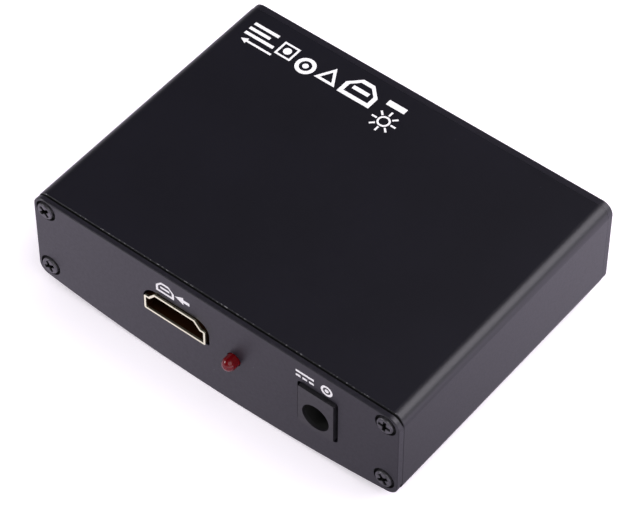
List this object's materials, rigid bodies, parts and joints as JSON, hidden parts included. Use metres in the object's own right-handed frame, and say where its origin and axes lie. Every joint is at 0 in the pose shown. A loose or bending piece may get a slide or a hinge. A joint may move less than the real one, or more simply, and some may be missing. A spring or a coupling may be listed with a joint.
{
  "type": "digital to component video converter box",
  "caption": "Black aluminium converter box: digital video socket, power jack and lamp on one end, phono jacks on the other.",
  "frame": {"origin": "centre of the bounding box in X and Y, at the lowest line of the domed face", "axes": "+Z is the flat underside's normal, as the box lies upside down on its domed face; -Y is the end with the video socket, +Y the end with the phono jacks; +X runs along the long side, towards the power jack"},
  "size_m": [0.088, 0.0774, 0.0252],
  "materials": {
    "anodised_case": "matt black anodised",
    "anodised_plate": "matt black anodised",
    "black_screw": "black oxide",
    "board_laminate": "green solder mask",
    "gilt_shell": "gold flash plating",
    "contact_gold": "gold plated",
    "black_plastic": "moulded",
    "red_lens": "clear red epoxy",
    "tinned_metal": "tinned",
    "nickel_barrel": "bright nickel",
    "green_plastic": "moulded",
    "blue_plastic": "moulded",
    "red_plastic": "moulded",
    "white_plastic": "moulded",
    "chip_plastic": "moulded epoxy",
    "can_metal": "satin",
    "ferrite": "pressed powder",
    "ceramic": "fired ceramic",
    "resistor_body": "glazed"
  },
  "bodies": {
    "case": {"case_extrusion": "anodised_case"},
    "front_plate": {"front_plate": "anodised_plate"},
    "board_tray": {"audio_red_jack_barrel": "nickel_barrel", "audio_red_jack_insert": "red_plastic", "audio_white_jack_barrel": "nickel_barrel", "audio_white_jack_insert": "white_plastic", "blue_jack_barrel": "nickel_barrel", "blue_jack_insert": "blue_plastic", "ceramic_capacitors": "ceramic", "circuit_board": "board_laminate", "crystal": "can_metal", "electrolytic_capacitors": "can_metal", "green_jack_barrel": "nickel_barrel", "green_jack_insert": "green_plastic", "indicator_leads": "tinned_metal", "indicator_lens": "red_lens", "memory_chip": "chip_plastic", "memory_chip_leads": "tinned_metal", "phono_block_screws": "black_screw", "phono_contacts": "contact_gold", "picture_chip": "chip_plastic", "picture_chip_leads": "tinned_metal", "picture_jack_housing": "black_plastic", "power_inductor": "ferrite", "power_jack_housing": "black_plastic", "power_jack_pin": "tinned_metal", "power_jack_terminals": "tinned_metal", "rear_plate": "anodised_plate", "receiver_chip": "chip_plastic", "receiver_chip_leads": "tinned_metal", "red_jack_barrel": "nickel_barrel", "red_jack_insert": "red_plastic", "resistors": "resistor_body", "sound_chip": "chip_plastic", "sound_chip_leads": "tinned_metal", "sound_jack_housing": "black_plastic", "video_socket_contacts": "contact_gold", "video_socket_shell": "gilt_shell", "video_socket_tongue": "black_plastic", "voltage_regulators": "chip_plastic"},
    "power_jack_leaf": {"power_jack_leaf": "contact_gold"},
    "front_screw_1": {"front_screw_1": "black_screw"},
    "rear_screw_1": {"rear_screw_1": "black_screw"},
    "front_screw_2": {"front_screw_2": "black_screw"},
    "rear_screw_2": {"rear_screw_2": "black_screw"},
    "front_screw_3": {"front_screw_3": "black_screw"},
    "rear_screw_3": {"rear_screw_3": "black_screw"},
    "front_screw_4": {"front_screw_4": "black_screw"},
    "rear_screw_4": {"rear_screw_4": "black_screw"}
  },
  "joints": [
    {"name": "front_plate_slide", "type": "slide", "parent": "case", "child": "front_plate", "axis": [0, -1, 0], "range_m": [0, 0.015]},
    {"name": "board_tray_slide", "type": "slide", "parent": "case", "child": "board_tray", "axis": [0, 1, 0], "range_m": [0, 0.068]},
    {"name": "power_jack_leaf_flex", "type": "hinge", "parent": "board_tray", "child": "power_jack_leaf", "pos_m": [0.0253, -0.02415, 0.01685], "axis": [-1, 0, 0], "range_deg": [0, 6], "stiffness_Nm_per_rad": 0.4},
    {"name": "front_screw_1_withdrawal", "type": "slide", "parent": "front_plate", "child": "front_screw_1", "axis": [0, -1, 0], "range_m": [0, 0.009]},
    {"name": "rear_screw_1_withdrawal", "type": "slide", "parent": "board_tray", "child": "rear_screw_1", "axis": [0, 1, 0], "range_m": [0, 0.009]},
    {"name": "front_screw_2_withdrawal", "type": "slide", "parent": "front_plate", "child": "front_screw_2", "axis": [0, -1, 0], "range_m": [0, 0.009]},
    {"name": "rear_screw_2_withdrawal", "type": "slide", "parent": "board_tray", "child": "rear_screw_2", "axis": [0, 1, 0], "range_m": [0, 0.009]},
    {"name": "front_screw_3_withdrawal", "type": "slide", "parent": "front_plate", "child": "front_screw_3", "axis": [0, -1, 0], "range_m": [0, 0.009]},
    {"name": "rear_screw_3_withdrawal", "type": "slide", "parent": "board_tray", "child": "rear_screw_3", "axis": [0, 1, 0], "range_m": [0, 0.009]},
    {"name": "front_screw_4_withdrawal", "type": "slide", "parent": "front_plate", "child": "front_screw_4", "axis": [0, -1, 0], "range_m": [0, 0.009]},
    {"name": "rear_screw_4_withdrawal", "type": "slide", "parent": "board_tray", "child": "rear_screw_4", "axis": [0, 1, 0], "range_m": [0, 0.009]}
  ]
}
